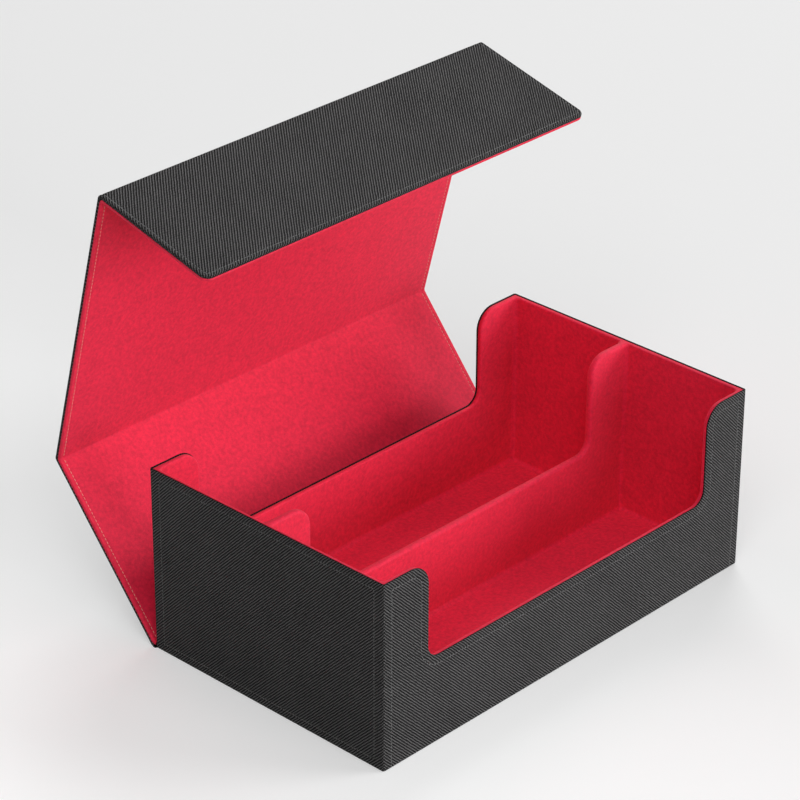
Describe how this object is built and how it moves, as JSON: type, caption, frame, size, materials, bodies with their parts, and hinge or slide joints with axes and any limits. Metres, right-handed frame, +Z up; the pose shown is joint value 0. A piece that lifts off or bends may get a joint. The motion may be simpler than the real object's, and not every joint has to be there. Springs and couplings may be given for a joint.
{
  "type": "card deck box",
  "caption": "Leather-covered card box with felt-lined rows, a cut-away divider and a folding lid whose panels close over the tray and down its front.",
  "frame": {"origin": "middle of the tray's flat underside", "axes": "+X along the box's length to its right end, -Y its front with the flap's side, +Y its rear with the lid's hinge, +Z up"},
  "size_m": [0.2596, 0.2221, 0.2335],
  "materials": {
    "greyboard": "matt",
    "leather_cover": "fine diagonal rib, semi-matt",
    "felt_lining": "short brushed nap, matt",
    "magnet_steel": "nickel plated"
  },
  "bodies": {
    "tray": {"floor_board": "greyboard", "front_wall_board": "greyboard", "rear_wall_board": "greyboard", "left_end_board": "greyboard", "right_end_board": "greyboard", "divider_board": "greyboard", "base_leather": "leather_cover", "front_wall_leather": "leather_cover", "rear_wall_leather": "leather_cover", "left_end_leather": "leather_cover", "right_end_leather": "leather_cover", "front_wall_lining": "felt_lining", "rear_wall_lining": "felt_lining", "left_end_lining": "felt_lining", "right_end_lining": "felt_lining", "divider_lining": "felt_lining", "front_row_floor_lining": "felt_lining", "rear_row_floor_lining": "felt_lining", "front_wall_magnets": "magnet_steel", "base_hinge_leather": "leather_cover", "base_hinge_lining": "felt_lining"},
    "lid_rear": {"lid_rear_board": "greyboard", "lid_rear_leather": "leather_cover", "lid_rear_lining": "felt_lining", "top_fold_leather": "leather_cover", "top_fold_lining": "felt_lining"},
    "lid_top": {"lid_top_board": "greyboard", "lid_top_leather": "leather_cover", "lid_top_lining": "felt_lining", "flap_fold_leather": "leather_cover", "flap_fold_lining": "felt_lining"},
    "lid_flap": {"lid_flap_board": "greyboard", "lid_flap_leather": "leather_cover", "lid_flap_lining": "felt_lining", "flap_magnets": "magnet_steel"}
  },
  "joints": [
    {"name": "base_hinge", "type": "hinge", "parent": "tray", "child": "lid_rear", "pos_m": [0, 0.0783, 0.0025], "axis": [1, 0, 0], "range_deg": [-50.1, 39.9], "deforming": ["base_hinge_leather", "base_hinge_lining"]},
    {"name": "top_fold", "type": "hinge", "parent": "lid_rear", "child": "lid_top", "pos_m": [0, 0.1427, 0.07952], "axis": [1, 0, 0], "range_deg": [-54.65, 35.35], "deforming": ["top_fold_leather", "top_fold_lining"]},
    {"name": "flap_fold", "type": "hinge", "parent": "lid_top", "child": "lid_flap", "pos_m": [0, 0.10283, 0.23096], "axis": [1, 0, 0], "range_deg": [-90, 0], "deforming": ["flap_fold_leather", "flap_fold_lining"]}
  ]
}
